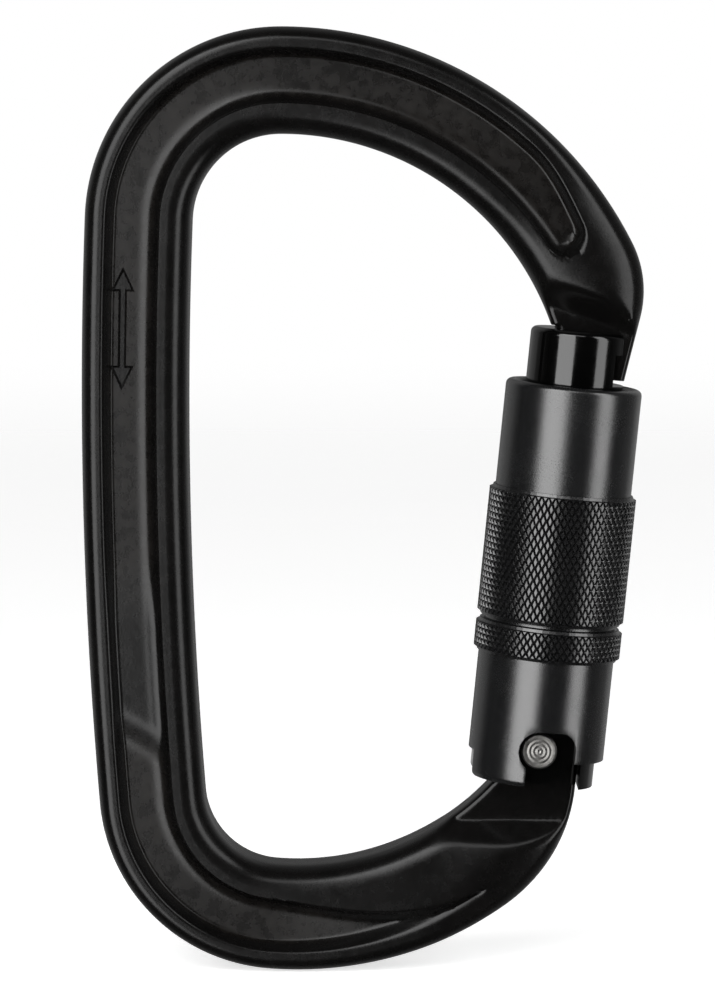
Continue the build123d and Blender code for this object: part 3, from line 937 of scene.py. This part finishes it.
studio = {
    "target": (7.14, 0.0, -43.2),
    "distance": 0.49,
    "tilt": 5.8,
    "lens": 149.0,
    "keyAzimuth": -29.0,
    "keySize": (0.44, 1.0),
    "keyPower": 7.6,
    "stripAzimuth": 57.0,
    "stripSize": (0.27, 1.0),
    "stripPower": 3.4,
    "backAzimuth": 148.0,
    "backSize": (0.4, 1.0),
    "backPower": 0.22,
    "sideAzimuth": -138.0,
    "sideSize": (0.5, 1.0),
    "sidePower": 0.26,
    "topAzimuth": -12.0,
    "topSize": (0.7, 0.25),
    "topPower": 1.3,
    "topRise": 1.0,
    "rise": 0.12,
    "lightDistance": 0.6,
    "horizon": {"From Min": -0.35, "From Max": 0.75, "To Min": 0.008, "To Max": 0.2},
    "floorDrop": 0.05,
    "floorRadius": 1.4,
    "floorFade": (0.12, 1.1),
    "floorGlow": 0.66,
}


def makeStudio():
    s = studio
    target = Vector(s["target"]) * millimetre
    tilt = radians(s["tilt"])
    camera = bpy.data.objects.new("camera", bpy.data.cameras.new("camera"))
    camera.data.lens = s["lens"]
    camera.data.clip_start = 0.01
    camera.location = target + Vector((0, -cos(tilt), sin(tilt))) * s["distance"]
    camera.rotation_euler = (target - camera.location).to_track_quat("-Z", "Y").to_euler()
    bpy.context.scene.collection.objects.link(camera)
    bpy.context.scene.camera = camera

    for name in ("key", "strip", "back", "side", "top"):
        rise = s["topRise"] if name == "top" else s["rise"]
        azimuth = radians(s[name + "Azimuth"])
        light = bpy.data.lights.new(name, "AREA")
        light.shape = "RECTANGLE"
        light.size, light.size_y = s[name + "Size"]
        light.energy = s[name + "Power"]
        lamp = bpy.data.objects.new(name, light)
        lamp.location = target + Vector((sin(azimuth), -cos(azimuth), rise)) * s["lightDistance"]
        lamp.rotation_euler = (target - lamp.location).to_track_quat("-Z", "Y").to_euler()
        bpy.context.scene.collection.objects.link(lamp)

    bm = bmesh.new()
    bmesh.ops.create_circle(bm, cap_ends=True, radius=s["floorRadius"], segments=96)
    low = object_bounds()[0]
    bmesh.ops.translate(bm, verts=bm.verts, vec=(0, 0, low[2] - s["floorDrop"] * millimetre))
    mesh = bpy.data.meshes.new("floor")
    bm.to_mesh(mesh)
    bm.free()
    floor = bpy.data.objects.new("floor", mesh)
    bpy.context.scene.collection.objects.link(floor)
    floor.visible_glossy = False
    f = Finish("paleFloor")
    soft = f.ramp(f.noise(14, 2, 0.5), 0.3, 0.7)
    away = f.add("ShaderNodeVectorMath", {"operation": "LENGTH"}, {0: f.place}, "Value")
    clear = 1 - f.ramp(away, s["floorFade"][0], s["floorFade"][1])
    f.shade(Base_Color=f.blend(soft, (0.86, 0.86, 0.86), (0.88, 0.88, 0.875)), Roughness=0.6, Alpha=clear)
    f.shade(Emission_Color=(1, 1, 1, 1), Emission_Strength=s["floorGlow"])
    mesh.materials.append(f.material)

    world = bpy.data.worlds.new("whiteRoom")
    bpy.context.scene.world = world
    world.use_nodes = True
    tree = world.node_tree
    background = tree.nodes["Background"]
    place = tree.nodes.new("ShaderNodeTexCoord")
    split = tree.nodes.new("ShaderNodeSeparateXYZ")
    tree.links.new(place.outputs["Generated"], split.inputs[0])
    reach = tree.nodes.new("ShaderNodeMapRange")
    reach.interpolation_type = "SMOOTHSTEP"
    tree.links.new(split.outputs["Y"], reach.inputs["Value"])
    for key, value in s["horizon"].items():
        reach.inputs[key].default_value = value
    path = tree.nodes.new("ShaderNodeLightPath")
    pick = tree.nodes.new("ShaderNodeMix")
    tree.links.new(path.outputs["Is Camera Ray"], pick.inputs[0])
    tree.links.new(reach.outputs[0], pick.inputs[2])
    pick.inputs[3].default_value = 1.0
    background.inputs["Color"].default_value = (1, 1, 1, 1)
    tree.links.new(pick.outputs[0], background.inputs["Strength"])
    bpy.context.scene.view_settings.view_transform = "Standard"


makeStudio()
print("studio made")
